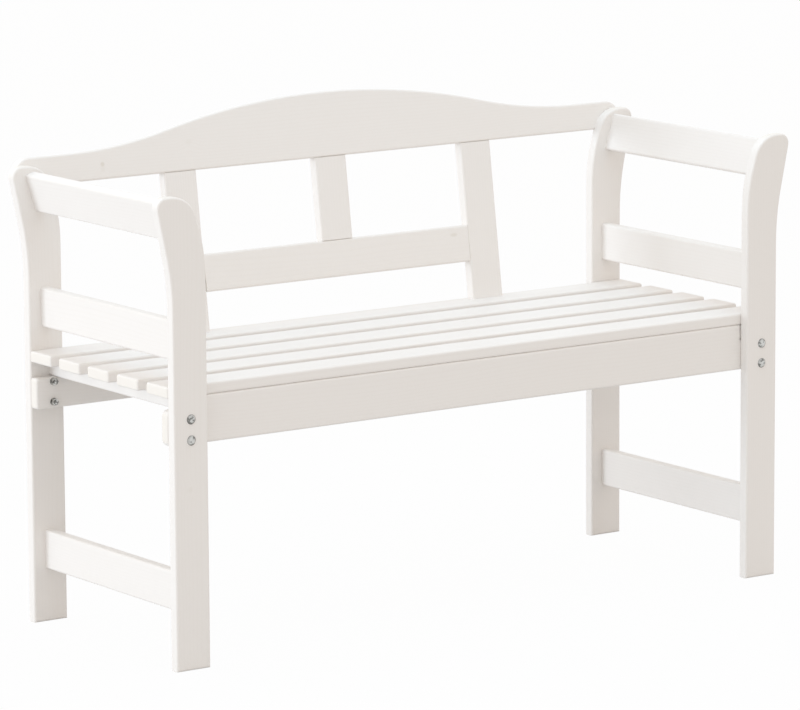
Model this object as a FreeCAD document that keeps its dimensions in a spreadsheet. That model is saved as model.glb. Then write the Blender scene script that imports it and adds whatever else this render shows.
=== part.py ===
import FreeCAD, Part
import os
import re

import Sketcher

# Two-seater slatted garden bench, painted softwood, with an arched back and
# posts that scroll outward at the arms. Millimetres and degrees.
# X runs along the seat, Y from the front to the back, Z up from the ground.
# The origin is on the ground, in the middle of the bench's outer box.

SIZES = {
    # Planed board that most pieces are cut from
    "board_thickness": 18,
    "edge_round": 3.5,
    # Whole bench
    "bench_length": 1150,
    "seat_height": 432,
    # Posts, with their upper ends sawn to an outward scroll
    "post_width": 60,
    "post_height": 719.5,
    "outer_bend_drop": 130.5,
    "inner_bend_drop": 84.5,
    "scroll_reach": 27.9,
    "scroll_top_width": 62.1,
    "outer_bend_radius": 410,
    "inner_bend_radius": 250,
    "outer_tip_radius": 16,
    "inner_tip_radius": 44,
    # Seat slats
    "slat_count": 5,
    "slat_width": 60,
    "slat_gap": 23.5,
    # Rails across the front and back of the seat, and the bearers between them
    "front_rail_width": 73,
    "front_rail_corner": 10,
    "rear_rail_corner": 5,
    "bearer_width": 24,
    "middle_bearer_width": 36,
    "bearer_thickness": 24,
    "side_bearer_inset": 34.5,
    # Boards between the front and rear posts
    "side_board_width": 61,
    "stretcher_height": 85,
    "side_rail_rise": 36,
    "arm_drop": 39.5,
    "arm_offset": 15,
    "arm_tilt": 17,
    # Back frame, which stands on the last slat and leans in a seat cut in the rear posts
    "back_setback": 22,
    "rail_seat_depth": 4.4,
    "top_rail_drop": 34,
    "upright_width": 60,
    "upright_offset": 286,
    "mid_rail_rise": 62.5,
    "mid_rail_width": 60,
    "top_rail_overhang": 11,
    "top_rail_end_width": 45,
    "top_rail_crown_width": 105,
    "shoulder_length": 95,
    "hollow_radius": 770,
    "top_rail_upper_corner": 28,
    "top_rail_lower_corner": 10,
    # Bolts through the posts and the seat rails
    "bolt_diameter": 6,
    "bolt_head_diameter": 15.5,
    "bolt_head_height": 3.8,
    "bolt_edge": 6.5,
    "bolt_spacing": 32,
    "bolt_end": 2.4,
    "bolt_clearance": 0.4,
    "washer_diameter": 12,
    "washer_thickness": 1.6,
    "nut_width": 10,
    "nut_thickness": 5,
    "thread_clearance": 0.3,
    # Glued dowels
    "dowel_diameter": 8,
    "dowel_length": 40,
    "dowel_bite": 12,
    "dowel_spacing": 30,
    "dowel_clearance": 0.2,
    # Countersunk screws
    "screw_diameter": 4,
    "screw_head_diameter": 8,
    "screw_point": 4,
    "screw_clearance": 0.4,
    "screw_spacing": 14,
    "middle_screw_spacing": 18,
    "short_bite": 12,
    "rail_bite": 22,
    "foot_bite": 32,
    "foot_screw_spacing": 30,
    "top_screw_spacing": 18,
    "top_screw_offset": 20,
    "top_screw_lift": 12,
}

# Places worked out from the sizes
PLACES = {
    "slat_step": "slat_width + slat_gap",
    "seat_depth": "slat_count * slat_width + (slat_count - 1) * slat_gap",
    "back_rise": "post_height - top_rail_drop - seat_height",
    "back_recline": "atan((back_setback + board_thickness - rail_seat_depth) / back_rise) / 1 deg",
    "upright_length": "back_rise / cos(back_recline)",
    "crown_back": "board_thickness + seat_depth - back_setback"
                  " + (upright_length + top_rail_crown_width - edge_round) * sin(back_recline)"
                  " + board_thickness * cos(back_recline)",
    "front": "(bolt_head_height - crown_back) / 2",
    "seat_front": "front + board_thickness",
    "seat_back": "seat_front + seat_depth",
    "seat_middle": "seat_front + seat_depth / 2",
    "back_foot": "seat_back - back_setback",
    "bearer_top": "seat_height - board_thickness",
    "bearer_bottom": "bearer_top - bearer_thickness",
    "post_centre": "bench_length / 2 - post_width / 2",
    "bearer_centre": "bench_length / 2 - side_bearer_inset - bearer_width / 2",
    "rear_rail_width": "front_rail_width - bearer_thickness",
    "upper_bolt": "bearer_bottom - bolt_edge",
    "side_rail_height": "seat_height + side_rail_rise",
    "arm_height": "post_height - arm_drop",
    "dowel_reach": "dowel_length - dowel_bite",
    "inner_edge": "upright_offset - upright_width / 2",
    "mid_rail_top": "mid_rail_rise + mid_rail_width",
    "mid_rail_centre": "mid_rail_rise + mid_rail_width / 2",
    "top_screw_rise": "upright_length + top_screw_lift",
    "foot_screw_set": "(board_thickness / 2) / cos(back_recline) + foot_bite * tan(back_recline) / 2",
    "top_rail_length": "bench_length + 2 * top_rail_overhang",
    "crown_rise": "top_rail_crown_width - top_rail_end_width",
    "hollow_start": "top_rail_length / 2 - shoulder_length",
    "crown_radius": "(hollow_start ^ 2 + crown_rise ^ 2) / (2 * crown_rise) - hollow_radius",
    "crown_centre": "top_rail_crown_width - crown_radius",
    "hollow_centre": "top_rail_end_width + hollow_radius",
}

SIDES = {"left": -1, "right": 1}

doc = FreeCAD.newDocument("bench")
sheet = doc.addObject("Spreadsheet::Sheet", "Sizes")
places = doc.addObject("App::VarSet", "Places")
nodes = []


def full(text):
    """Write a formula with each size and place under the object that holds it."""
    def owned(match):
        word = match.group()
        if word in SIZES:
            return "Sizes." + word
        return "Places." + word if word in PLACES else word
    return re.sub(r"[a-z]\w*", owned, text)


def tie(item, target, text):
    """Bind one property of an object to a formula of sizes."""
    item.setExpression(target, full(text))


def value(text):
    """Work out a formula of sizes as a number."""
    return float(sheet.evalExpression(full(text)))


def fill_tables():
    """Put the sizes in the sheet and tie the places to them."""
    for row, (name, number) in enumerate(SIZES.items(), 1):
        sheet.set(f"A{row}", name.replace("_", " "))
        sheet.set(f"B{row}", str(number))
        sheet.setAlias(f"B{row}", name)
    doc.recompute()
    for name, text in PLACES.items():
        places.addProperty("App::PropertyFloat", name)
        tie(places, name, text)
    doc.recompute()


def new_body(name, across="0", back="0", up="0", turn=None):
    """Start a piece at its place; turn is an axis and an angle formula."""
    body = doc.addObject("PartDesign::Body", name)
    body.Label = name
    if turn:
        axis, angle = turn
        body.Placement = FreeCAD.Placement(FreeCAD.Vector(), FreeCAD.Rotation(FreeCAD.Vector(*axis), 1))
        tie(body, "Placement.Rotation.Angle", angle)
    tie(body, "Placement.Base.x", across)
    tie(body, "Placement.Base.y", back)
    tie(body, "Placement.Base.z", up)
    nodes.append(body)
    return body


def origin(body, role):
    """Find one of the body's own planes or axes."""
    return next(item for item in body.Origin.OriginFeatures if item.Role == role)


def new_sketch(body, role, title, shift=("0", "0", "0"), tilt=None):
    """Start a sketch on an own plane, shifted in the sketch's axes and tilted about its first axis."""
    sketch = body.newObject("Sketcher::SketchObject", f"{body.Name}_{title}")
    sketch.AttachmentSupport = [(origin(body, role), "")]
    sketch.MapMode = "FlatFace"
    if tilt:
        sign, angle = tilt
        sketch.AttachmentOffset = FreeCAD.Placement(
            FreeCAD.Vector(), FreeCAD.Rotation(FreeCAD.Vector(sign, 0, 0), 1))
        tie(sketch, "AttachmentOffset.Rotation.Angle", angle)
    for letter, text in zip("xyz", shift):
        tie(sketch, f"AttachmentOffset.Base.{letter}", text)
    return sketch


def hold(sketch, kind, *geometry, size):
    """Add a dimension that follows a formula."""
    number = sketch.addConstraint(Sketcher.Constraint(kind, *geometry, value(size)))
    tie(sketch, f"Constraints[{number}]", size)


def hold_point(sketch, line, end, across, up):
    """Hold a point by its two distances from the sketch's origin."""
    hold(sketch, "DistanceX", -1, 1, line, end, size=across)
    hold(sketch, "DistanceY", -1, 1, line, end, size=up)


def draw_polygon(sketch, corners):
    """Draw straight lines through the corners and close them."""
    points = [FreeCAD.Vector(value(across), value(up), 0) for across, up in corners]
    count = len(points)
    for index in range(count):
        sketch.addGeometry(Part.LineSegment(points[index], points[(index + 1) % count]), False)
    for index, (across, up) in enumerate(corners):
        sketch.addConstraint(Sketcher.Constraint("Coincident", index, 2, (index + 1) % count, 1))
        hold_point(sketch, index, 1, across, up)


def draw_rectangle(sketch, left, right, bottom, top):
    """Draw an upright rectangle."""
    draw_polygon(sketch, [(left, bottom), (right, bottom), (right, top), (left, top)])


def draw_circles(sketch, centres, diameter):
    """Draw circles of one diameter."""
    for across, up in centres:
        middle = FreeCAD.Vector(value(across), value(up), 0)
        circle = Part.Circle(middle, FreeCAD.Vector(0, 0, 1), value(diameter) / 2)
        number = sketch.addGeometry(circle, False)
        hold_point(sketch, number, 3, across, up)
        hold(sketch, "Diameter", number, size=diameter)


def pad(body, sketch, length, side="One side", flip=False):
    """Thicken a sketch into solid wood or steel."""
    feature = body.newObject("PartDesign::Pad", f"{sketch.Name}_pad")
    feature.Profile = sketch
    feature.SideType = side
    feature.Reversed = flip
    tie(feature, "Length", length)
    doc.recompute()
    return feature


def check_cut(before, feature):
    """Make sure that a cut took something away."""
    if feature.Shape.Volume > before - 1:
        raise ValueError(f"{feature.Name} cuts nothing")


def pocket(body, sketch, depth=None, flip=False):
    """Cut a sketch out of the body, to a depth or right through both ways."""
    before = body.Shape.Volume
    feature = body.newObject("PartDesign::Pocket", f"{sketch.Name}_cut")
    feature.Profile = sketch
    feature.Reversed = flip
    if depth:
        tie(feature, "Length", depth)
    else:
        feature.Type = "ThroughAll"
        feature.SideType = "Symmetric"
    doc.recompute()
    check_cut(before, feature)
    return feature


def sink_screws(body, sketch, flip):
    """Drill right through for countersunk screws whose heads lie flush with the sketch."""
    before = body.Shape.Volume
    feature = body.newObject("PartDesign::Hole", f"{sketch.Name}_hole")
    feature.Profile = sketch
    doc.recompute()
    feature.ThreadType = "None"
    feature.DepthType = "ThroughAll"
    feature.HoleCutType = "Countersink"
    feature.HoleCutCustomValues = True
    feature.Reversed = flip
    feature.HoleCutCountersinkAngle = 90
    tie(feature, "Diameter", "screw_diameter + screw_clearance")
    tie(feature, "HoleCutDiameter", "screw_head_diameter + screw_clearance")
    doc.recompute()
    check_cut(before, feature)
    return feature


def edges_along(shape, *direction):
    """Name the straight edges that run in one direction."""
    axis = FreeCAD.Vector(*direction)
    names = []
    for number, edge in enumerate(shape.Edges, 1):
        straight = edge.Curve.TypeId == "Part::GeomLine"
        if straight and edge.tangentAt(edge.FirstParameter).cross(axis).Length < 1e-6:
            names.append(f"Edge{number}")
    return names


def faces_across(shape, *direction):
    """Name the flat faces that lie square to one direction."""
    axis = FreeCAD.Vector(*direction)
    names = []
    for number, face in enumerate(shape.Faces, 1):
        flat = face.Surface.TypeId == "Part::GeomPlane"
        if flat and face.Surface.Axis.cross(axis).Length < 1e-6:
            names.append(f"Face{number}")
    return names


def round_off(body, names, radius="edge_round"):
    """Round the named edges, or all edges of the named faces."""
    base = body.Tip
    feature = body.newObject("PartDesign::Fillet", f"{base.Name}_round")
    feature.Base = (base, names)
    tie(feature, "Radius", radius)
    doc.recompute()
    return feature


def round_corner(body, across, up, radius):
    """Round the corner of an outline that lies in the XZ plane."""
    shape = body.Tip.Shape
    corner = FreeCAD.Vector(value(across), 0, value(up))
    names = edges_along(shape, 0, 1, 0)

    def distance(name):
        point = shape.getElement(name).CenterOfMass
        return (point.x - corner.x) ** 2 + (point.z - corner.z) ** 2

    round_off(body, [min(names, key=distance)], radius)


def repeat(body, role, length, count="2"):
    """Repeat the whole body along one of its axes."""
    feature = body.newObject("PartDesign::LinearPattern", f"{body.Name}_{role}")
    feature.TransformMode = "Whole shape"
    feature.Direction = (origin(body, role), [""])
    tie(feature, "Length", length)
    tie(feature, "Occurrences", count)
    body.Tip = feature
    doc.recompute()


def mirror(body, role):
    """Mirror the whole body in one of its planes."""
    feature = body.newObject("PartDesign::Mirrored", f"{body.Name}_mirrored")
    feature.TransformMode = "Whole shape"
    feature.MirrorPlane = (origin(body, role), [""])
    body.Tip = feature
    doc.recompute()


def side_dowel_points(side):
    """Places of the dowels of one side frame, from the middle of the post."""
    points = []
    for sign in (-1, 1):
        half = f"{sign} * dowel_spacing / 2"
        points.append(("0", f"stretcher_height + side_board_width / 2 + {half}"))
        points.append(("0", f"side_rail_height + side_board_width / 2 + {half}"))
        points.append((f"{side} * (arm_offset + {half} * sin(arm_tilt))",
                       f"arm_height + {half} * cos(arm_tilt)"))
    return points


def top_screw_points(side, middle="0"):
    """Places of the two screws from the top rail into a rear post, up the slope of the back."""
    return [(f"{middle} + {side} * top_screw_offset + {sign} * top_screw_spacing / 2", "top_screw_rise")
            for sign in (-1, 1)]


def pairs(middle, pitch, up):
    """Two places side by side about a middle."""
    return [(f"{middle} - {pitch} / 2", up), (f"{middle} + {pitch} / 2", up)]


def slat_screw_points(bearer, slat, middle):
    """Places of the two screws from a bearer into a slat: side by side in the middle bearer, whose
    dowel runs between the first two, and one behind the other in a side bearer."""
    if middle:
        return pairs(bearer, "middle_screw_spacing", slat)
    return [(bearer, f"{slat} - screw_spacing / 2"), (bearer, f"{slat} + screw_spacing / 2")]


def make_post(name, side, rear):
    """Cut a post from a board: a straight leg whose upper end curves outward."""
    face = "seat_back" if rear else "front"
    body = new_body(name, f"{side} * post_centre", face)
    half = "post_width / 2"
    tip = f"{half} + scroll_reach"
    outline = [
        (f"-{half}", "0"),
        (half, "0"),
        (half, "post_height - outer_bend_drop"),
        (tip, "post_height"),
        (f"{tip} - scroll_top_width", "post_height"),
        (f"-{half}", "post_height - inner_bend_drop"),
    ]
    corners = [(f"{side} * ({across})", up) for across, up in outline]
    sketch = new_sketch(body, "XZ_Plane", "outline")
    draw_polygon(sketch, corners)
    pad(body, sketch, "board_thickness", flip=True)
    radii = ("outer_bend_radius", "outer_tip_radius", "inner_tip_radius", "inner_bend_radius")
    for (across, up), radius in zip(corners[2:], radii):
        round_corner(body, across, up, radius)
    round_off(body, faces_across(body.Tip.Shape, 0, 1, 0))

    bolts = new_sketch(body, "XZ_Plane", "bolts")
    draw_circles(bolts, [("0", "upper_bolt"), ("0", "upper_bolt - bolt_spacing")],
                 "bolt_diameter + bolt_clearance")
    pocket(body, bolts)
    dowels = new_sketch(body, "XZ_Plane", "dowels", ("0", "0", "0" if rear else "-board_thickness"))
    draw_circles(dowels, side_dowel_points(side), "dowel_diameter + dowel_clearance")
    pocket(body, dowels, "dowel_bite", flip=not rear)
    if rear:
        cut_rail_seat(body, side)


def cut_rail_seat(body, side):
    """Cut the tapered seat in a rear post's back that the leaning top rail lies in, and its screw holes."""
    seat = new_sketch(body, "YZ_Plane", "seat")
    low = "upright_length"
    high = "(upright_length + top_rail_crown_width)"
    corners = []
    for rise, depth in ((low, "0"), (low, "board_thickness"), (high, "board_thickness"), (high, "0")):
        corners.append((
            f"{rise} * sin(back_recline) + {depth} * cos(back_recline) - back_setback",
            f"seat_height + {rise} * cos(back_recline) - {depth} * sin(back_recline)"))
    draw_polygon(seat, corners)
    pocket(body, seat)
    screws = new_sketch(body, "XZ_Plane", "screws", ("0", "seat_height", "back_setback"), (-1, "back_recline"))
    draw_circles(screws, top_screw_points(side), "screw_diameter + screw_clearance")
    pocket(body, screws, "short_bite", flip=True)


def make_front_rail():
    """Make the deep front rail, whose ends drop to a tongue and a notch for the side bearers."""
    body = new_body("front_seat_rail", back="seat_front", up="bearer_top - front_rail_width")
    end = "bench_length / 2"
    tongue = "front_rail_width - board_thickness"
    outside = "(bearer_centre + bearer_width / 2)"
    inside = "(bearer_centre - bearer_width / 2)"
    right = [(end, "0"), (end, tongue), (outside, tongue), (outside, "rear_rail_width"),
             (inside, "rear_rail_width"), (inside, "front_rail_width")]
    left = [(f"-{across}", up) for across, up in reversed(right)]
    sketch = new_sketch(body, "XZ_Plane", "outline")
    draw_polygon(sketch, right + left)
    pad(body, sketch, "board_thickness", flip=True)
    for sign in ("", "-"):
        for up in ("0", tongue):
            round_corner(body, f"{sign}{end}", up, "front_rail_corner")
    round_off(body, faces_across(body.Tip.Shape, 0, 1, 0))
    drill_rail(body, ["-bearer_centre", "bearer_centre"])
    dowel = new_sketch(body, "XZ_Plane", "dowel", ("0", "0", "-board_thickness"))
    draw_circles(dowel, [("0", "front_rail_width - bearer_thickness / 2")], "dowel_diameter + dowel_clearance")
    pocket(body, dowel, "dowel_bite", flip=True)


def make_rear_rail():
    """Make the rear rail, which carries the ends of all three bearers."""
    body = new_body("rear_seat_rail", back="seat_back - board_thickness", up="bearer_bottom - rear_rail_width")
    end = "bench_length / 2"
    sketch = new_sketch(body, "XZ_Plane", "outline")
    draw_rectangle(sketch, f"-{end}", end, "0", "rear_rail_width")
    pad(body, sketch, "board_thickness", flip=True)
    for sign in ("", "-"):
        for up in ("0", "rear_rail_width"):
            round_corner(body, f"{sign}{end}", up, "rear_rail_corner")
    round_off(body, faces_across(body.Tip.Shape, 0, 1, 0))
    drill_rail(body, ["-bearer_centre", "0", "bearer_centre"])


def drill_rail(body, screw_places):
    """Drill a seat rail for the post bolts and for the screws through the bearers that rest on it."""
    bolts = new_sketch(body, "XZ_Plane", "bolts")
    upper = "rear_rail_width - bolt_edge"
    draw_circles(bolts, [(f"{sign} * post_centre", up)
                         for sign in (-1, 1) for up in (upper, f"{upper} - bolt_spacing")],
                 "bolt_diameter + bolt_clearance")
    pocket(body, bolts)
    screws = new_sketch(body, "XY_Plane", "screws", ("0", "0", "rear_rail_width"))
    draw_circles(screws, [(across, "board_thickness / 2") for across in screw_places],
                 "screw_diameter + screw_clearance")
    pocket(body, screws, "rail_bite")


def make_bearer(name, across, middle=False):
    """Make a bearer under the slats; the middle one stops at the back of the front rail."""
    start = "board_thickness" if middle else "0"
    body = new_body(name, across, "seat_front", "bearer_bottom")
    sketch = new_sketch(body, "XZ_Plane", "section", ("0", "0", f"-{start}"))
    width = "middle_bearer_width" if middle else "bearer_width"
    draw_rectangle(sketch, f"-{width} / 2", f"{width} / 2", "0", "bearer_thickness")
    wood = pad(body, sketch, f"seat_depth - {start}", flip=True)
    round_off(body, edges_along(wood.Shape, 0, 1, 0))

    centres = []
    for row in range(SIZES["slat_count"]):
        centres += slat_screw_points("0", f"slat_width / 2 + {row} * slat_step", middle)
    slats = new_sketch(body, "XY_Plane", "slat_screws")
    draw_circles(slats, centres, "screw_diameter")
    sink_screws(body, slats, flip=True)
    ends = ["seat_depth - board_thickness / 2"]
    if not middle:
        ends.append("board_thickness / 2")
    rails = new_sketch(body, "XY_Plane", "rail_screws", ("0", "0", "bearer_thickness"))
    draw_circles(rails, [("0", place) for place in ends], "screw_diameter")
    sink_screws(body, rails, flip=False)
    if middle:
        dowel = new_sketch(body, "XZ_Plane", "dowel", ("0", "0", "-board_thickness"))
        draw_circles(dowel, [("0", "bearer_thickness / 2")], "dowel_diameter + dowel_clearance")
        pocket(body, dowel, "dowel_reach")


def make_slat(number):
    """Make one seat slat; the last one also takes the screws into the feet of the back."""
    row = number - 1
    body = new_body(f"seat_slat_{number}", back=f"seat_front + {row} * slat_step", up="bearer_top")
    sketch = new_sketch(body, "XY_Plane", "outline")
    draw_rectangle(sketch, "-bench_length / 2", "bench_length / 2", "0", "slat_width")
    wood = pad(body, sketch, "board_thickness")
    names = [f"Edge{index}" for index in range(1, len(wood.Shape.Edges) + 1)]
    round_off(body, names)
    centres = []
    for bearer in ("-bearer_centre", "0", "bearer_centre"):
        centres += slat_screw_points(bearer, "slat_width / 2", bearer == "0")
    screws = new_sketch(body, "XY_Plane", "screws")
    draw_circles(screws, centres, "screw_diameter + screw_clearance")
    pocket(body, screws, "short_bite", flip=True)
    if number == SIZES["slat_count"]:
        feet = new_sketch(body, "XY_Plane", "foot_screws")
        depth = "slat_width - back_setback + foot_screw_set"
        draw_circles(feet, pairs("-upright_offset", "foot_screw_spacing", depth)
                     + pairs("upright_offset", "foot_screw_spacing", depth), "screw_diameter")
        sink_screws(body, feet, flip=True)


def make_side_board(name, side, outset, height, tilt=None):
    """Make a board that butts between a front and a rear post, with dowel holes in both ends."""
    turn = ((0, side, 0), tilt) if tilt else None
    body = new_body(name, f"{side} * (post_centre + {outset})", "seat_front", height, turn)
    sketch = new_sketch(body, "XZ_Plane", "section")
    draw_rectangle(sketch, "-board_thickness / 2", "board_thickness / 2",
                   "-side_board_width / 2", "side_board_width / 2")
    wood = pad(body, sketch, "seat_depth", flip=True)
    round_off(body, edges_along(wood.Shape, 0, 1, 0))
    for title, lift, flip in (("front_dowels", "0", False), ("rear_dowels", "-seat_depth", True)):
        dowels = new_sketch(body, "XZ_Plane", title, ("0", "0", lift))
        draw_circles(dowels, [("0", "-dowel_spacing / 2"), ("0", "dowel_spacing / 2")],
                     "dowel_diameter + dowel_clearance")
        pocket(body, dowels, "dowel_reach", flip=flip)


def back_body(name, across="0"):
    """Start a piece of the leaning back: its Z runs up the slope from the seat."""
    return new_body(name, across, "back_foot", "seat_height", ((-1, 0, 0), "back_recline"))


def make_upright(name, side):
    """Make an outer upright of the back, its foot cut level to stand on the last slat."""
    body = back_body(name, f"{side} * upright_offset")
    sketch = new_sketch(body, "YZ_Plane", "outline")
    draw_polygon(sketch, [
        ("0", "0"),
        ("board_thickness", "board_thickness * tan(back_recline)"),
        ("board_thickness", "upright_length"),
        ("0", "upright_length")])
    wood = pad(body, sketch, "upright_width", "Symmetric")
    round_off(body, edges_along(wood.Shape, 0, 0, 1))
    drill_up(body, "upright_length", flip=False)
    dowels = new_sketch(body, "YZ_Plane", "side_dowels", ("0", "0", f"{-side} * upright_width / 2"))
    draw_circles(dowels, [("board_thickness / 2", "mid_rail_centre - dowel_spacing / 2"),
                          ("board_thickness / 2", "mid_rail_centre + dowel_spacing / 2")],
                 "dowel_diameter + dowel_clearance")
    pocket(body, dowels, "dowel_length / 2", flip=side > 0)
    screws = new_sketch(body, "XY_Plane", "foot_screws", tilt=(1, "back_recline"))
    draw_circles(screws, pairs("0", "foot_screw_spacing", "foot_screw_set"), "screw_diameter + screw_clearance")
    pocket(body, screws, "foot_bite", flip=True)


def drill_up(body, rise, flip, middles=("0",)):
    """Drill pairs of dowel holes along the slope of the back, at one height."""
    dowels = new_sketch(body, "XY_Plane", "dowels_up" if flip else "dowels_down", ("0", "0", rise))
    centres = []
    for middle in middles:
        centres += pairs(middle, "dowel_spacing", "board_thickness / 2")
    draw_circles(dowels, centres, "dowel_diameter + dowel_clearance")
    pocket(body, dowels, "dowel_length / 2", flip=flip)


def make_centre_upright():
    """Make the short upright between the middle rail and the top rail."""
    body = back_body("back_centre_upright")
    sketch = new_sketch(body, "YZ_Plane", "outline")
    draw_rectangle(sketch, "0", "board_thickness", "mid_rail_top", "upright_length")
    wood = pad(body, sketch, "upright_width", "Symmetric")
    round_off(body, edges_along(wood.Shape, 0, 0, 1))
    drill_up(body, "upright_length", flip=False)
    drill_up(body, "mid_rail_top", flip=True)


def make_mid_rail():
    """Make the straight rail between the outer uprights."""
    body = back_body("back_mid_rail")
    sketch = new_sketch(body, "YZ_Plane", "section")
    draw_rectangle(sketch, "0", "board_thickness", "mid_rail_rise", "mid_rail_top")
    wood = pad(body, sketch, "2 * inner_edge", "Symmetric")
    round_off(body, edges_along(wood.Shape, 1, 0, 0))
    drill_up(body, "mid_rail_top", flip=False)
    for sign, title in ((-1, "left_dowels"), (1, "right_dowels")):
        dowels = new_sketch(body, "YZ_Plane", title, ("0", "0", f"{sign} * inner_edge"))
        draw_circles(dowels, [("board_thickness / 2", "mid_rail_centre - dowel_spacing / 2"),
                              ("board_thickness / 2", "mid_rail_centre + dowel_spacing / 2")],
                     "dowel_diameter + dowel_clearance")
        pocket(body, dowels, "dowel_length / 2", flip=sign < 0)


def draw_arch(sketch):
    """Draw the top rail: level shoulders that sweep up through a hollow curve into the crown."""
    crown, hollow = value("crown_radius"), value("hollow_radius")
    crown_y, hollow_y = value("crown_centre"), value("hollow_centre")
    start = value("hollow_start")
    end = value("top_rail_length / 2")
    shoulder = value("top_rail_end_width")
    up = FreeCAD.Vector(0, 0, 1)
    share = crown / (crown + hollow)
    join = FreeCAD.Vector(start * share, crown_y + (hollow_y - crown_y) * share, 0)
    middle = FreeCAD.Vector(0, crown_y + crown, 0)
    across = FreeCAD.Vector(-join.x, join.y, 0)

    # 0 underside, 1 and 2 ends, 3 and 4 shoulders, 5 crown, 6 and 7 hollows, right before left
    sketch.addGeometry(Part.LineSegment(FreeCAD.Vector(-end, 0, 0), FreeCAD.Vector(end, 0, 0)), False)
    for sign in (1, -1):
        sketch.addGeometry(Part.LineSegment(FreeCAD.Vector(sign * end, 0, 0),
                                            FreeCAD.Vector(sign * end, shoulder, 0)), False)
    for sign in (1, -1):
        sketch.addGeometry(Part.LineSegment(FreeCAD.Vector(sign * end, shoulder, 0),
                                            FreeCAD.Vector(sign * start, shoulder, 0)), False)
    sketch.addGeometry(Part.Arc(join, middle, across), False)
    for sign, point in ((1, join), (-1, across)):
        centre = FreeCAD.Vector(sign * start, hollow_y, 0)
        circle = Part.Circle(centre, up, hollow)
        first, last = circle.parameter(point), circle.parameter(FreeCAD.Vector(sign * start, shoulder, 0))
        sketch.addGeometry(Part.ArcOfCircle(circle, min(first, last), max(first, last)), False)

    join_ends(sketch)
    sketch.addConstraint(Sketcher.Constraint("Horizontal", 0))
    for line in (1, 2):
        sketch.addConstraint(Sketcher.Constraint("Vertical", line))
    for line in (3, 4):
        sketch.addConstraint(Sketcher.Constraint("Horizontal", line))
    hold_point(sketch, 0, 1, "-top_rail_length / 2", "0")
    hold(sketch, "DistanceX", -1, 1, 0, 2, size="top_rail_length / 2")
    for line in (1, 2):
        hold(sketch, "DistanceY", -1, 1, line, 2, size="top_rail_end_width")
    hold(sketch, "Radius", 5, size="crown_radius")
    hold_point(sketch, 5, 3, "0", "crown_centre")
    for arc in (6, 7):
        hold(sketch, "Radius", arc, size="hollow_radius")


def join_ends(sketch):
    """Join the ends of lines and arcs that meet, as tangents where an arc meets its neighbour."""
    pieces = sketch.Geometry
    for first in range(len(pieces)):
        for second in range(first + 1, len(pieces)):
            for end in (1, 2):
                for other in (1, 2):
                    gap = sketch.getPoint(first, end).sub(sketch.getPoint(second, other)).Length
                    if gap > 1e-4:
                        continue
                    kind = "Coincident" if second < 5 else "Tangent"
                    sketch.addConstraint(Sketcher.Constraint(kind, first, end, second, other))


def make_top_rail():
    """Make the arched top rail, which passes behind the rear posts."""
    body = back_body("back_top_rail")
    sketch = new_sketch(body, "XZ_Plane", "outline", ("0", "upright_length", "0"))
    draw_arch(sketch)
    pad(body, sketch, "board_thickness", flip=True)
    for sign in ("", "-"):
        end = f"{sign}top_rail_length / 2"
        round_corner(body, end, "upright_length + top_rail_end_width", "top_rail_upper_corner")
        round_corner(body, end, "upright_length", "top_rail_lower_corner")
    round_off(body, faces_across(body.Tip.Shape, 0, 1, 0))
    drill_up(body, "upright_length", flip=True, middles=("-upright_offset", "0", "upright_offset"))
    screws = new_sketch(body, "XZ_Plane", "screws", ("0", "0", "-board_thickness"))
    centres = []
    for side in SIDES.values():
        centres += top_screw_points(side, f"{side} * post_centre")
    draw_circles(screws, centres, "screw_diameter")
    sink_screws(body, screws, flip=True)


def turn_screw(body, title, shift, length):
    """Turn a countersunk screw about its own axis, its head at the bottom and its point up."""
    sketch = new_sketch(body, "XZ_Plane", title, shift)
    radius = "screw_diameter / 2"
    head = "screw_head_diameter / 2"
    draw_polygon(sketch, [
        ("0", "0"),
        (head, "0"),
        (radius, f"{head} - {radius}"),
        (radius, f"{length} - screw_point"),
        ("0", length)])
    spin(body, sketch)


def spin(body, sketch):
    """Revolve a half section about the sketch's upright axis."""
    feature = body.newObject("PartDesign::Revolution", f"{sketch.Name}_turned")
    feature.Profile = sketch
    feature.ReferenceAxis = (sketch, ["V_Axis"])
    feature.Angle = 360
    body.Tip = feature
    doc.recompute()


def make_slat_screws():
    """Screws from below, through the bearers into the slats, two at each crossing."""
    body = new_body("slat_screws", "0", "seat_front + slat_width / 2", "bearer_bottom")
    length = "(bearer_thickness + short_bite)"
    turn_screw(body, "side_screw", ("-bearer_centre", "0", "screw_spacing / 2"), length)
    repeat(body, "Y_Axis", "screw_spacing")
    repeat(body, "X_Axis", "2 * bearer_centre")
    turn_screw(body, "middle_left_screw", ("-middle_screw_spacing / 2", "0", "0"), length)
    turn_screw(body, "middle_right_screw", ("middle_screw_spacing / 2", "0", "0"), length)
    repeat(body, "Y_Axis", "seat_depth - slat_width", "slat_count")


def make_bearer_screws():
    """Screws from above, through the ends of the bearers into the seat rails."""
    body = new_body("bearer_screws", "0", "seat_middle", "bearer_top", ((1, 0, 0), "180"))
    row = "(seat_depth - board_thickness) / 2"
    length = "(bearer_thickness + rail_bite)"
    turn_screw(body, "side_screw", ("-bearer_centre", "0", row), length)
    repeat(body, "X_Axis", "2 * bearer_centre")
    repeat(body, "Y_Axis", f"2 * {row}")
    turn_screw(body, "middle_screw", ("0", "0", row), length)


def make_foot_screws():
    """Screws from below, through the last slat into the feet of the back's uprights."""
    body = new_body("back_foot_screws", "0", "back_foot + foot_screw_set", "bearer_top")
    turn_screw(body, "screw", ("-upright_offset - foot_screw_spacing / 2", "0", "0"),
               "(board_thickness + foot_bite)")
    repeat(body, "X_Axis", "foot_screw_spacing")
    repeat(body, "X_Axis", "2 * upright_offset")


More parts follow.
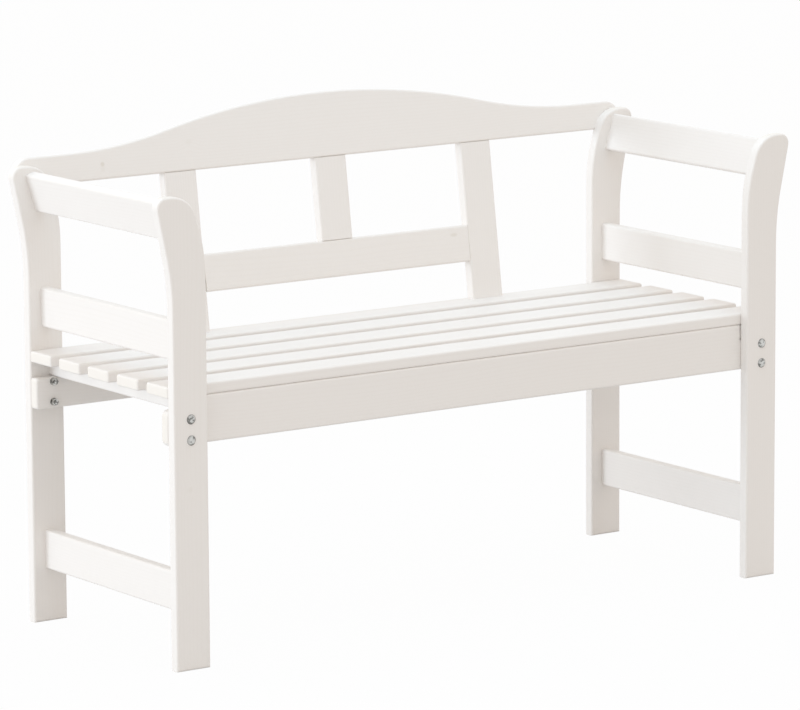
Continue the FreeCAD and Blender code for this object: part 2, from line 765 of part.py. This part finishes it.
def make_top_screws():
    """Screws from behind, through the top rail's ends into the rear posts."""
    body = new_body("top_rail_screws", "0",
                    "back_foot + top_screw_rise * sin(back_recline) + board_thickness * cos(back_recline)",
                    "seat_height + top_screw_rise * cos(back_recline) - board_thickness * sin(back_recline)",
                    ((1, 0, 0), "90 - back_recline"))
    turn_screw(body, "screw", ("-post_centre - top_screw_offset - top_screw_spacing / 2", "0", "0"),
               "(board_thickness + short_bite)")
    repeat(body, "X_Axis", "top_screw_spacing")
    repeat(body, "X_Axis", "2 * (post_centre + top_screw_offset)")


def bolt_body(name):
    """Start a set of bolt parts: Z runs from the front to the back, from the middle of the posts."""
    return new_body(name, "0", "seat_middle", "upper_bolt", ((-1, 0, 0), "90"))


def spread_bolts(body):
    """Repeat one bolt part over the four posts, two to a post."""
    repeat(body, "X_Axis", "2 * post_centre")
    repeat(body, "Y_Axis", "bolt_spacing")
    mirror(body, "XY_Plane")


def bolt_depth(extra):
    """Distance in front of the middle of the seat, from the front posts' face inward."""
    return f"-(seat_depth / 2 + board_thickness) + {extra}"


def make_bolts():
    """Round-headed bolts through the posts and the seat rails."""
    body = bolt_body("frame_bolts")
    sketch = new_sketch(body, "XZ_Plane", "bolt", ("-post_centre", bolt_depth("0"), "0"))
    shank = value("bolt_diameter / 2")
    head = value("bolt_head_diameter / 2")
    height = value("bolt_head_height")
    end = value("2 * board_thickness + washer_thickness + nut_thickness + bolt_end")
    dome = (head ** 2 + height ** 2) / (2 * height)
    top = FreeCAD.Vector(0, -height, 0)
    rim = FreeCAD.Vector(head, 0, 0)
    circle = Part.Circle(FreeCAD.Vector(0, dome - height, 0), FreeCAD.Vector(0, 0, 1), dome)
    low, high = circle.parameter(top), circle.parameter(rim)
    sketch.addGeometry(Part.ArcOfCircle(circle, low, high), False)
    corners = [rim, FreeCAD.Vector(shank, 0, 0), FreeCAD.Vector(shank, end, 0), FreeCAD.Vector(0, end, 0), top]
    for first, second in zip(corners, corners[1:]):
        sketch.addGeometry(Part.LineSegment(first, second), False)
    for line in range(5):
        sketch.addConstraint(Sketcher.Constraint("Coincident", line, 2, (line + 1) % 5, 1))
    sketch.addConstraint(Sketcher.Constraint("PointOnObject", 0, 3, -2))
    hold_point(sketch, 0, 1, "0", "-bolt_head_height")
    hold_point(sketch, 1, 1, "bolt_head_diameter / 2", "0")
    hold_point(sketch, 2, 1, "bolt_diameter / 2", "0")
    hold_point(sketch, 3, 1, "bolt_diameter / 2",
               "2 * board_thickness + washer_thickness + nut_thickness + bolt_end")
    hold_point(sketch, 4, 1, "0", "2 * board_thickness + washer_thickness + nut_thickness + bolt_end")
    spin(body, sketch)
    spread_bolts(body)


def make_washers():
    """Washers between the rails and the nuts."""
    body = bolt_body("frame_washers")
    sketch = new_sketch(body, "XY_Plane", "ring", ("0", "0", bolt_depth("2 * board_thickness")))
    draw_circles(sketch, [("-post_centre", "0")], "washer_diameter")
    draw_circles(sketch, [("-post_centre", "0")], "bolt_diameter + bolt_clearance")
    pad(body, sketch, "washer_thickness")
    spread_bolts(body)


def make_nuts():
    """Hexagon nuts on the inner ends of the bolts."""
    body = bolt_body("frame_nuts")
    sketch = new_sketch(body, "XY_Plane", "hexagon",
                        ("0", "0", bolt_depth("2 * board_thickness + washer_thickness")))
    reach = "nut_width / 2 / cos(30)"
    draw_polygon(sketch, [(f"{reach} * cos({60 * turn}) - post_centre", f"{reach} * sin({60 * turn})")
                          for turn in range(6)])
    draw_circles(sketch, [("-post_centre", "0")], "bolt_diameter + thread_clearance")
    pad(body, sketch, "nut_thickness")
    spread_bolts(body)


def make_side_dowels(name, side):
    """Dowels that join the boards of one side frame to its posts."""
    body = new_body(name, f"{side} * post_centre", "seat_middle")
    sketch = new_sketch(body, "XZ_Plane", "dowels", ("0", "0", "seat_depth / 2 + dowel_bite"))
    draw_circles(sketch, side_dowel_points(side), "dowel_diameter")
    pad(body, sketch, "dowel_length", flip=True)
    mirror(body, "XZ_Plane")


def make_back_dowels():
    """Dowels that join the uprights of the back to its two rails."""
    body = back_body("back_dowels")
    top = new_sketch(body, "XY_Plane", "top", ("0", "0", "upright_length"))
    centres = []
    for middle in ("-upright_offset", "0", "upright_offset"):
        centres += pairs(middle, "dowel_spacing", "board_thickness / 2")
    draw_circles(top, centres, "dowel_diameter")
    pad(body, top, "dowel_length", "Symmetric")
    low = new_sketch(body, "XY_Plane", "low", ("0", "0", "mid_rail_top"))
    draw_circles(low, pairs("0", "dowel_spacing", "board_thickness / 2"), "dowel_diameter")
    pad(body, low, "dowel_length", "Symmetric")
    for sign, title in ((-1, "left"), (1, "right")):
        end = new_sketch(body, "YZ_Plane", title, ("0", "0", f"{sign} * inner_edge"))
        draw_circles(end, [("board_thickness / 2", "mid_rail_centre - dowel_spacing / 2"),
                           ("board_thickness / 2", "mid_rail_centre + dowel_spacing / 2")], "dowel_diameter")
        pad(body, end, "dowel_length", "Symmetric")


def make_bearer_dowel():
    """The dowel that holds the front end of the middle bearer to the front rail."""
    body = new_body("middle_bearer_dowel", "0", "seat_front + board_thickness", "bearer_top - bearer_thickness / 2")
    sketch = new_sketch(body, "XZ_Plane", "dowel", ("0", "0", "dowel_bite"))
    draw_circles(sketch, [("0", "0")], "dowel_diameter")
    pad(body, sketch, "dowel_length", flip=True)


def check_document():
    """Stop if anything failed to build."""
    for item in doc.Objects:
        if "Invalid" in item.State or "Error" in item.State:
            raise ValueError(f"{item.Name} failed: {item.State}")
    for body in nodes:
        if body.Shape.isNull() or not body.Shape.isValid():
            raise ValueError(f"{body.Label} has no valid shape")


fill_tables()
for word, side in SIDES.items():
    make_post(f"front_{word}_post", side, rear=False)
    make_post(f"rear_{word}_post", side, rear=True)
    make_side_board(f"{word}_stretcher", side, "0", "stretcher_height + side_board_width / 2")
    make_side_board(f"{word}_side_rail", side, "0", "side_rail_height + side_board_width / 2")
    make_side_board(f"{word}_arm_rail", side, "arm_offset", "arm_height", "arm_tilt")
    make_side_dowels(f"{word}_frame_dowels", side)
    make_bearer(f"{word}_seat_bearer", f"{side} * bearer_centre")
    make_upright(f"back_{word}_upright", side)
make_front_rail()
make_rear_rail()
make_bearer("middle_seat_bearer", "0", middle=True)
for number in range(1, SIZES["slat_count"] + 1):
    make_slat(number)
make_mid_rail()
make_centre_upright()
make_top_rail()
make_back_dowels()
make_bearer_dowel()
make_bolts()
make_washers()
make_nuts()
make_slat_screws()
make_bearer_screws()
make_foot_screws()
make_top_screws()
doc.recompute()
check_document()

os.makedirs("parts", exist_ok=True)
for body in nodes:
    body.Shape.exportStep(f"parts/{body.Label}.step")
    box = body.Shape.BoundBox
    print(f"{body.Label}: {len(body.Shape.Solids)} solids, "
          f"{box.XLength:.1f} x {box.YLength:.1f} x {box.ZLength:.1f}")
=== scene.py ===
"""A white-painted two-seat garden bench in a plain white studio.

Metres, +Z up, the bench's front towards -Y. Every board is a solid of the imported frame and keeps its
shape; this script gives each one a finish that follows its own grain, sets the lamps, the floor and
the camera, and adds nothing that the bench doesn't have.
"""

import math

import bpy
from mathutils import Matrix, Vector


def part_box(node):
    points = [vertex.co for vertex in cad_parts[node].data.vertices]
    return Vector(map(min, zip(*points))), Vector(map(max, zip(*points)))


# The directions of the bench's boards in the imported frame, and how many slats its seat has
RIGHT = Vector((1, 0, 0))
BACK = Vector((0, 1, 0))
UP = Vector((0, 0, 1))
RECLINE = math.radians(7.994)
ARM_TILT = math.radians(17)
SLOPE_UP = Vector((0, math.sin(RECLINE), math.cos(RECLINE)))
SLATS = 5

# Colours are linear
PAINT = (0.860, 0.828, 0.795)
THIN_PAINT = (0.805, 0.760, 0.710)
END_GRAIN = (0.840, 0.795, 0.730)
KNOT = (0.640, 0.590, 0.500)
ZINC = (0.62, 0.62, 0.60)
DULL_ZINC = (0.21, 0.21, 0.20)
# The painted dark reflection down the rims of the zinc fasteners
DARK_RIM_REFLECTION = (0.20, 0.195, 0.18)
BEECH = (0.62, 0.42, 0.25)
BEECH_FLECK = (0.40, 0.25, 0.14)
WHITE = (1.0, 1.0, 1.0)
FLOOR_DULL = (0.66, 0.66, 0.66)
FLOOR_PALE = (0.68, 0.68, 0.68)

# Small knots that show through the paint: a point on the board, the knot's reach along and across
# the grain, and how dark it is
KNOTS = {
    "back_top_rail": [
        ((-0.4275, 0.202, 0.7090), 0.0046, 0.0042, 0.42),
        ((-0.4275, 0.202, 0.7020), 0.0050, 0.0070, 0.12),
        ((-0.2660, 0.205, 0.7300), 0.0065, 0.0060, 0.08),
    ],
    "back_mid_rail": [((0.2277, 0.178, 0.5393), 0.0085, 0.0036, 0.34)],
    "rear_seat_rail": [
        ((-0.21, 0.18, 0.362), 0.0065, 0.0055, 0.55),
        ((0.31, 0.18, 0.371), 0.0050, 0.0040, 0.45),
    ],
    "middle_seat_bearer": [((0.004, 0.09, 0.39), 0.0070, 0.0050, 0.5)],
    "front_left_post": [((-0.5478, -0.220, 0.2765), 0.0050, 0.0042, 0.12)],
    "seat_slat_3": [((0.12, 0.0, 0.414), 0.0070, 0.0055, 0.2)],
}

# The rings of the tree, in metres: their spacing, how far they wander and step aside for a knot, and
# how far beside and behind a board the pith lies, with how much that differs between boards
RING_SPACING = 0.0045
RING_WANDER = 0.024
KNOT_SWERVE = 0.005
PITH_SIDE = 0.045
PITH_SIDE_SPREAD = 0.030
PITH_DEPTH = 0.030
PITH_DEPTH_SPREAD = 0.040

# How fine each pattern is in waves to a metre: along the grain, across it and through the board
WANDER_WAVES = (1.6, 7.0, 7.0)
BROAD_WAVES = (2.2, 14.0, 14.0)
FIBRE_WAVES = (14.0, 700.0, 700.0)

# The same across the bench, from front to back and upwards
FLECK_WAVES = (260.0, 60.0, 260.0)

# The same for patterns that are alike in every direction
PEEL_WAVES = 420.0
PORE_WAVES = 650.0
MOTTLE_WAVES = 210.0
GRIT_WAVES = 1900.0
FLOOR_WAVES = 3.0

# How far the patterns and the pith move from one board to the next
PATTERN_STEP = (3.7, 1.9, 5.3)
PITH_SIDE_STEP = 0.37
PITH_DEPTH_STEP = 0.61

# Where a knot and the rings' swerve round it start to fade and are gone, in reaches of the knot
KNOT_RIM = (0.35, 1.15)
SWERVE_RIM = (0.6, 4.0)

# Where a finish starts to change and has changed: at a cut end and a fastener's crown by how squarely
# the surface faces outwards there, at a worn edge by how far the surface has turned, and in the
# mottling of the zinc and the flecks of the beech by the tone of the pattern
CUT_END = (0.80, 0.97)
CROWN = (0.50, 0.93)
WORN_EDGE = (0.35, 1.0)
MOTTLE = (0.46, 0.62)
FLECK = (0.52, 0.72)

# The trace of the grain that starts to tint the paint, and how strongly it and worn edges tint it
TRACE_START = 0.38
GRAIN_TINT = 0.26
EDGE_TINT = 0.15

# How rough each finish is before its patterns add to it
PAINT_ROUGHNESS = 0.40
ZINC_ROUGHNESS = 0.20
BEECH_ROUGHNESS = 0.62

# The heights of the reliefs, in metres
GRAIN_RELIEF = 0.00006
PEEL_RELIEF = 0.00004
GRIT_RELIEF = 0.00003
FLECK_RELIEF = 0.0001

# How dark the painted reflection makes the rims of the bolts and screws, and those of the washers and nuts
BOLT_RIM_REFLECTION = 0.80
NUT_RIM_REFLECTION = 0.25

# How far the floor is shown as plain white, which leaves the bench's shadow faint, and its half side
FLOOR_WHITE = 0.97
FLOOR_REACH = 24.0

# The light from all round, and the lamps' aim, a point just above the middle of the seat
STUDIO_COLOUR = (1.0, 0.927, 0.862)
STUDIO_STRENGTH = 0.945
LAMP_AIM = Vector((0, 0, 0.45))

# Lamps: name, place, width and height in metres, power in watts and colour
LAMPS = [
    ("key_lamp", (-8.0, 3.6, 1.2), 4.5, 2.4, 272, (0.765, 0.88, 1.0)),
    ("left_lamp", (-4.5, -1.5, 1.6), 3.0, 2.4, 14, (0.54, 0.78, 1.0)),
    ("top_lamp", (0, -0.3, 3.2), 3.0, 3.0, 33, (0.44, 0.74, 1.0)),
]

# The camera, fitted to the photograph: its place, how far it stands to the left of straight on, how
# far it looks down and rolls, and its lens and the width of its sensor in millimetres
CAMERA_PLACE = Vector((-4.6778, -6.66825, 1.8396))
CAMERA_LEFT = math.radians(35.017)
CAMERA_DOWN = math.radians(10.089)
CAMERA_ROLL = math.radians(0.337)
CAMERA_LENS = 235.27
SENSOR_WIDTH = 36.0
CAMERA_REACH = 100.0

# The sockets of the node that mixes two colours
MIX_SHARE = 0
MIX_FIRST = 6
MIX_SECOND = 7
MIX_RESULT = 2


class Value:
    """A value on its way through a finish; Python's operators add the nodes that work it out."""

    def __init__(self, finish, socket):
        self.finish = finish
        self.socket = socket

    def maths(self, operation, first, second=0.0):
        """Add the node of one operation on one or two values."""
        return self.finish.add("ShaderNodeMath", {"operation": operation}, {0: first, 1: second})

    def __add__(self, other):
        return self.maths("ADD", self, other)

    def __sub__(self, other):
        return self.maths("SUBTRACT", self, other)

    def __mul__(self, other):
        return self.maths("MULTIPLY", self, other)

    def __truediv__(self, other):
        return self.maths("DIVIDE", self, other)

    def __pow__(self, other):
        return self.maths("POWER", self, other)

    def __rsub__(self, other):
        return self.maths("SUBTRACT", other, self)

    def __rtruediv__(self, other):
        return self.maths("DIVIDE", other, self)

    __radd__ = __add__
    __rmul__ = __mul__

    def __abs__(self):
        return self.maths("ABSOLUTE", self)

    def sine(self):
        return self.maths("SINE", self)

    def root(self):
        return self.maths("SQRT", self)

    def rise(self, low, high):
        """Go smoothly from 0 at low to 1 at high."""
        return self.finish.add(
            "ShaderNodeMapRange",
            {"interpolation_type": "SMOOTHSTEP"},
            {"Value": self, "From Min": low, "From Max": high})


class Finish:
    """The nodes of one procedural material, or of the world."""

    def __init__(self, owner, output="ShaderNodeOutputMaterial"):
        owner.use_nodes = True
        self.owner = owner
        self.tree = owner.node_tree
        self.tree.nodes.clear()
        self.output = self.tree.nodes.new(output)

    def add(self, kind, settings=None, inputs=None, output=0):
        """Add a node, settings first, feed its sockets and return one of its outputs."""
        node = self.tree.nodes.new(kind)
        for name, setting in (settings or {}).items():
            setattr(node, name, setting)
        for key, value in (inputs or {}).items():
            if isinstance(value, Value):
                self.tree.links.new(value.socket, node.inputs[key])
            elif value is not None:
                node.inputs[key].default_value = value
        return Value(self, node.outputs[output])

    def board_place(self, board):
        """The point on the board: metres along its grain, across its width and through its thickness."""
        point = self.add("ShaderNodeTexCoord", output="Object")
        rows = Matrix((board["along"], board["across"], board["through"]))
        turn = rows.to_euler()
        middle = -(rows @ board["middle"])
        return self.add("ShaderNodeMapping", {"vector_type": "POINT"},
                        {"Vector": point, "Location": middle, "Rotation": turn})

    def facing(self, direction):
        """How squarely the surface faces a direction or away from it, from 0 to 1."""
        normal = self.add("ShaderNodeTexCoord", output="Normal")
        dot = self.add("ShaderNodeVectorMath", {"operation": "DOT_PRODUCT"},
                       {0: normal, 1: direction}, output="Value")
        return abs(dot)

    def split(self, vector):
        """The three parts of a vector."""
        parts = self.add("ShaderNodeSeparateXYZ", None, {0: vector})
        return [Value(self, socket) for socket in parts.socket.node.outputs]

    def stretch(self, vector, amounts, shift=(0.0, 0.0, 0.0)):
        """Scale a place by one amount for each of its three directions, and shift it."""
        return self.add("ShaderNodeMapping", {"vector_type": "POINT"},
                        {"Vector": vector, "Location": shift, "Scale": amounts})

    def noise(self, vector, detail, scale=1.0):
        """Soft noise around 0.5."""
        return self.add("ShaderNodeTexNoise", {"noise_dimensions": "3D"},
                        {"Vector": vector, "Scale": scale, "Detail": detail})

    def blend(self, share, first, second):
        """Mix two colours."""
        return self.add("ShaderNodeMix", {"data_type": "RGBA", "clamp_factor": True},
                        {MIX_SHARE: share,
                         MIX_FIRST: first if isinstance(first, Value) else (*first, 1.0),
                         MIX_SECOND: second if isinstance(second, Value) else (*second, 1.0)},
                        output=MIX_RESULT)

    def bump(self, height, distance, below=None):
        """Tilt the surface's normal by a pattern of heights, of which 1 is a distance in metres."""
        return self.add("ShaderNodeBump", None, {"Height": height, "Distance": distance, "Normal": below})

    def show(self, shader):
        """Finish with a shader, and return what it is the finish of."""
        self.tree.links.new(shader.socket, self.output.inputs["Surface"])
        return self.owner

    def surface(self, inputs, constants):
        """Finish with the one shader; what is the same all over is set on its own sockets."""
        return self.show(self.add("ShaderNodeBsdfPrincipled", None, {**inputs, **constants}))


def new_finish(name):
    """Start the finish of a new material."""
    return Finish(bpy.data.materials.new(name))


def find_knots(board, knots, along, across):
    """How dark the knots make a place, and how far the rings swerve round them.

    A knot is a soft ellipse about its heart: the distance
    sqrt((along / long reach)^2 + (across / short reach)^2) is 1 at its reach.
    """
    dark = along * 0.0
    swerve = dark
    for heart, long_reach, short_reach, darkness in knots:
        offset = Vector(heart) - board["middle"]
        knot_along = (along - offset.dot(board["along"])) / long_reach
        knot_across = (across - offset.dot(board["across"])) / short_reach
        distance = (knot_along * knot_along + knot_across * knot_across).root()
        dark = dark + (1.0 - distance.rise(*KNOT_RIM)) * darkness
        swerve = swerve + 1.0 - distance.rise(*SWERVE_RIM)
    return dark, swerve


def draw_rings(across, through, wander, swerve, seed):
    """The late wood of the tree's rings, from 0 to 1.

    The rings are circles about a pith beside and behind the board: the radius
    sqrt((across - side)^2 + (through + depth)^2) plus a slow wander along the grain and the swerve
    round the knots, divided by the ring spacing, drives a sine, and its cube narrows the late wood.
    """
    side = PITH_SIDE + PITH_SIDE_SPREAD * ((seed * PITH_SIDE_STEP) % 1.0)
    depth = PITH_DEPTH + PITH_DEPTH_SPREAD * ((seed * PITH_DEPTH_STEP) % 1.0)
    radius = ((across - side) ** 2.0 + (through + depth) ** 2.0).root()
    radius = radius + wander * RING_WANDER + swerve * KNOT_SWERVE
    rings = (radius * (2.0 * math.pi / RING_SPACING)).sine() * 0.5 + 0.5
    return rings ** 3.0


def painted_pine(name, board, knots, seed):
    """Satin white paint over planed pine.

    The paint levels out most of the wood and keeps a trace of it in tone and relief. It is thinner on
    the rounded edges: with s for how squarely the surface faces through the board, an edge is
    4 s^2 (1 - s^2), which is 1 where the surface has turned by 45 degrees.
    """
    finish = new_finish(name)
    place = finish.board_place(board)
    along, across, through = finish.split(place)
    shift = tuple(seed * step for step in PATTERN_STEP)

    knot, swerve = find_knots(board, knots, along, across)
    wander = finish.noise(finish.stretch(place, WANDER_WAVES, shift), detail=2.0)
    late_wood = draw_rings(across, through, wander, swerve, seed)
    fibres = finish.noise(finish.stretch(place, FIBRE_WAVES, shift), detail=3.0)
    broad = finish.noise(finish.stretch(place, BROAD_WAVES, shift), detail=1.0)
    peel = finish.noise(place, detail=1.0, scale=PEEL_WAVES)
    pores = finish.noise(place, detail=2.0, scale=PORE_WAVES)

    cut_end = finish.facing(board["along"]).rise(*CUT_END)
    square = finish.facing(board["through"])
    edge = square * square * (1.0 - square * square) * 4.0

    trace = late_wood * 0.50 + fibres * 0.30 + broad * 0.50
    colour = finish.blend((trace - TRACE_START) * GRAIN_TINT, PAINT, THIN_PAINT)
    colour = finish.blend(edge.rise(*WORN_EDGE) * EDGE_TINT, colour, THIN_PAINT)
    colour = finish.blend(cut_end * (0.50 + pores * 0.35), colour, END_GRAIN)
    colour = finish.blend(knot, colour, KNOT)

    roughness = PAINT_ROUGHNESS + broad * 0.10 + cut_end * 0.22 + knot * 0.10
    relief = finish.bump(late_wood * -0.35 + fibres * 0.30 - knot * 0.9, GRAIN_RELIEF)
    relief = finish.bump(peel + pores * cut_end * 2.0, PEEL_RELIEF, below=relief)
    return finish.surface(
        {"Base Color": colour, "Roughness": roughness, "Normal": relief},
        {"IOR": 1.47, "Specular IOR Level": 0.42})


def zinc_plate(name, rim_reflection):
    """Bright zinc plate, mottled, with a painted reflection: bright crowns and dark rims."""
    finish = new_finish(name)
    point = finish.add("ShaderNodeTexCoord", output="Object")
    cloud = finish.noise(point, detail=2.0, scale=MOTTLE_WAVES)
    grit = finish.noise(point, detail=1.0, scale=GRIT_WAVES)
    # Painted reflection: the rims darken towards a dark reflection, and the crowns keep the bright zinc
    rim = 1.0 - finish.facing(BACK).rise(*CROWN)
    colour = finish.blend(cloud.rise(*MOTTLE), ZINC, DULL_ZINC)
    colour = finish.blend(rim * rim_reflection, colour, DARK_RIM_REFLECTION)
    roughness = ZINC_ROUGHNESS + cloud * 0.12 + rim * 0.2
    return finish.surface(
        {"Base Color": colour, "Roughness": roughness, "Normal": finish.bump(grit, GRIT_RELIEF)},
        {"Metallic": 1.0})


def bare_beech(name):
    """Bare fluted beech of the hidden dowels: short dark flecks in a pale brown ground."""
    finish = new_finish(name)
    point = finish.add("ShaderNodeTexCoord", output="Object")
    fleck = finish.noise(finish.stretch(point, FLECK_WAVES), detail=2.0)
    colour = finish.blend(fleck.rise(*FLECK), BEECH, BEECH_FLECK)
    roughness = BEECH_ROUGHNESS + fleck * 0.2
    return finish.surface(
        {"Base Color": colour, "Roughness": roughness, "Normal": finish.bump(fleck, FLECK_RELIEF)},
        {"IOR": 1.5})


def measure_board(node, along, across):
    """A board's own directions, of which the third is square to the other two, and its box's middle."""
    low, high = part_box(node)
    through = along.cross(across)
    return {"along": along, "across": across, "through": through, "middle": (low + high) / 2}


def list_boards():
    """Name every painted board with the directions of its grain and its width, and measure it."""
    boards = {}
    for word, side in (("left", -1), ("right", 1)):
        for end in ("front", "rear"):
            boards[f"{end}_{word}_post"] = (UP, RIGHT)
        boards[f"{word}_side_rail"] = (BACK, UP)
        boards[f"{word}_stretcher"] = (BACK, UP)
        leaning_up = Vector((side * math.sin(ARM_TILT), 0, math.cos(ARM_TILT)))
        boards[f"{word}_arm_rail"] = (BACK, leaning_up)
        boards[f"back_{word}_upright"] = (SLOPE_UP, RIGHT)
    for word in ("left", "middle", "right"):
        boards[f"{word}_seat_bearer"] = (BACK, RIGHT)
    for end in ("front", "rear"):
        boards[f"{end}_seat_rail"] = (RIGHT, UP)
    for number in range(1, SLATS + 1):
        boards[f"seat_slat_{number}"] = (RIGHT, BACK)
    boards["back_centre_upright"] = (SLOPE_UP, RIGHT)
    for rail in ("top", "mid"):
        boards[f"back_{rail}_rail"] = (RIGHT, SLOPE_UP)
    return {name: measure_board(name, *directions) for name, directions in boards.items()}


def dress(node, material):
    """Give a node its finish."""
    for slot in node.material_slots:
        slot.material = material


def dress_bench(nodes):
    """Give every node its finish: paint on the boards, zinc on the fasteners, beech on the dowels."""
    for seed, (name, board) in enumerate(sorted(list_boards().items()), 1):
        dress(nodes[name], painted_pine(f"painted_pine_{name}", board, KNOTS.get(name, []), seed))
    # Bolts and screws get a darker painted rim reflection than washers and nuts
    zinc_with_dark_rims = zinc_plate("zinc_plate_dark_rim_reflection", BOLT_RIM_REFLECTION)
    zinc_with_faint_rims = zinc_plate("zinc_plate_faint_rim_reflection", NUT_RIM_REFLECTION)
    beech = bare_beech("bare_beech")
    for name, node in nodes.items():
        if name.endswith(("bolts", "screws")):
            dress(node, zinc_with_dark_rims)
        elif name.endswith(("washers", "nuts")):
            dress(node, zinc_with_faint_rims)
        elif "dowel" in name:
            dress(node, beech)


def seen_rays(finish):
    """1 for what the camera sees, straight, in a reflection or through glass, and 0 for other light."""
    seen = finish.add("ShaderNodeLightPath", output="Is Camera Ray")
    outputs = seen.socket.node.outputs
    for name in ("Is Glossy Ray", "Is Transmission Ray"):
        seen = seen.maths("MAXIMUM", seen, Value(finish, outputs[name]))
    return seen


def make_floor():
    """A plain white floor that keeps a faint shadow."""
    mesh = bpy.data.meshes.new("floor")
    near, far = -FLOOR_REACH, FLOOR_REACH
    mesh.from_pydata([(near, near, 0), (far, near, 0), (far, far, 0), (near, far, 0)], [], [(0, 1, 2, 3)])
    floor = bpy.data.objects.new("floor", mesh)
    bpy.context.scene.collection.objects.link(floor)
    finish = new_finish("white_floor")
    point = finish.add("ShaderNodeTexCoord", output="Object")
    tone = finish.noise(point, detail=1.0, scale=FLOOR_WAVES)
    colour = finish.blend(tone, FLOOR_DULL, FLOOR_PALE)
    lit = finish.add("ShaderNodeBsdfDiffuse", None, {"Color": colour})
    white = finish.add("ShaderNodeEmission", None, {"Color": (*WHITE, 1.0), "Strength": 1.0})
    mixed = finish.add("ShaderNodeMixShader", None, {0: seen_rays(finish) * FLOOR_WHITE, 1: lit, 2: white})
    mesh.materials.append(finish.show(mixed))


def light_world():
    """Even studio light from all round; the backdrop itself is white."""
    world = bpy.data.worlds.new("studio")
    finish = Finish(world, "ShaderNodeOutputWorld")
    light = finish.add("ShaderNodeBackground", None,
                       {"Color": (*STUDIO_COLOUR, 1.0), "Strength": STUDIO_STRENGTH})
    white = finish.add("ShaderNodeBackground", None, {"Color": (*WHITE, 1.0), "Strength": 1.0})
    finish.show(finish.add("ShaderNodeMixShader", None, {0: seen_rays(finish), 1: light, 2: white}))
    bpy.context.scene.world = world


def add_lamp(name, place, width, height, power, colour):
    """A soft rectangular lamp at a place, aimed at the bench, which leaves no glare on the paint."""
    lamp = bpy.data.lights.new(name, "AREA")
    lamp.shape = "RECTANGLE"
    lamp.size = width
    lamp.size_y = height
    lamp.energy = power
    lamp.color = colour
    holder = bpy.data.objects.new(name, lamp)
    holder.rotation_euler = (LAMP_AIM - Vector(place)).to_track_quat("-Z", "Y").to_euler()
    holder.location = place
    holder.visible_glossy = False
    bpy.context.scene.collection.objects.link(holder)


def add_camera():
    """A camera with the fitted lens, place, aim and roll.

    It looks along (sin left cos down, cos left cos down, -sin down), and its right hand side, level
    at first, is then rolled about that line.
    """
    camera = bpy.data.cameras.new("camera")
    camera.lens = CAMERA_LENS
    camera.sensor_width = SENSOR_WIDTH
    camera.clip_end = CAMERA_REACH
    holder = bpy.data.objects.new("camera", camera)
    forward = Vector((math.sin(CAMERA_LEFT) * math.cos(CAMERA_DOWN),
                      math.cos(CAMERA_LEFT) * math.cos(CAMERA_DOWN),
                      -math.sin(CAMERA_DOWN)))
    level = Vector((math.cos(CAMERA_LEFT), -math.sin(CAMERA_LEFT), 0))
    side = math.cos(CAMERA_ROLL) * level + math.sin(CAMERA_ROLL) * forward.cross(level)
    up = side.cross(forward)
    rows = Matrix((side, up, -forward)).transposed().to_4x4()
    rows.translation = CAMERA_PLACE
    holder.matrix_world = rows
    bpy.context.scene.collection.objects.link(holder)
    bpy.context.scene.camera = holder


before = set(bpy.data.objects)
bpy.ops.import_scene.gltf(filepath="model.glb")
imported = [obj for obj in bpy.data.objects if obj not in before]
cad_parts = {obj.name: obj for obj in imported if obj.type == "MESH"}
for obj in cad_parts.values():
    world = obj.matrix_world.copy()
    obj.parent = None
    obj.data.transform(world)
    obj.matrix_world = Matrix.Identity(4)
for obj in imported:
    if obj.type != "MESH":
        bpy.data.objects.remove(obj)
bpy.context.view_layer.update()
dress_bench(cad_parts)
make_floor()
light_world()
for lamp in LAMPS:
    add_lamp(*lamp)
add_camera()

bpy.context.scene.view_settings.view_transform = "Standard"
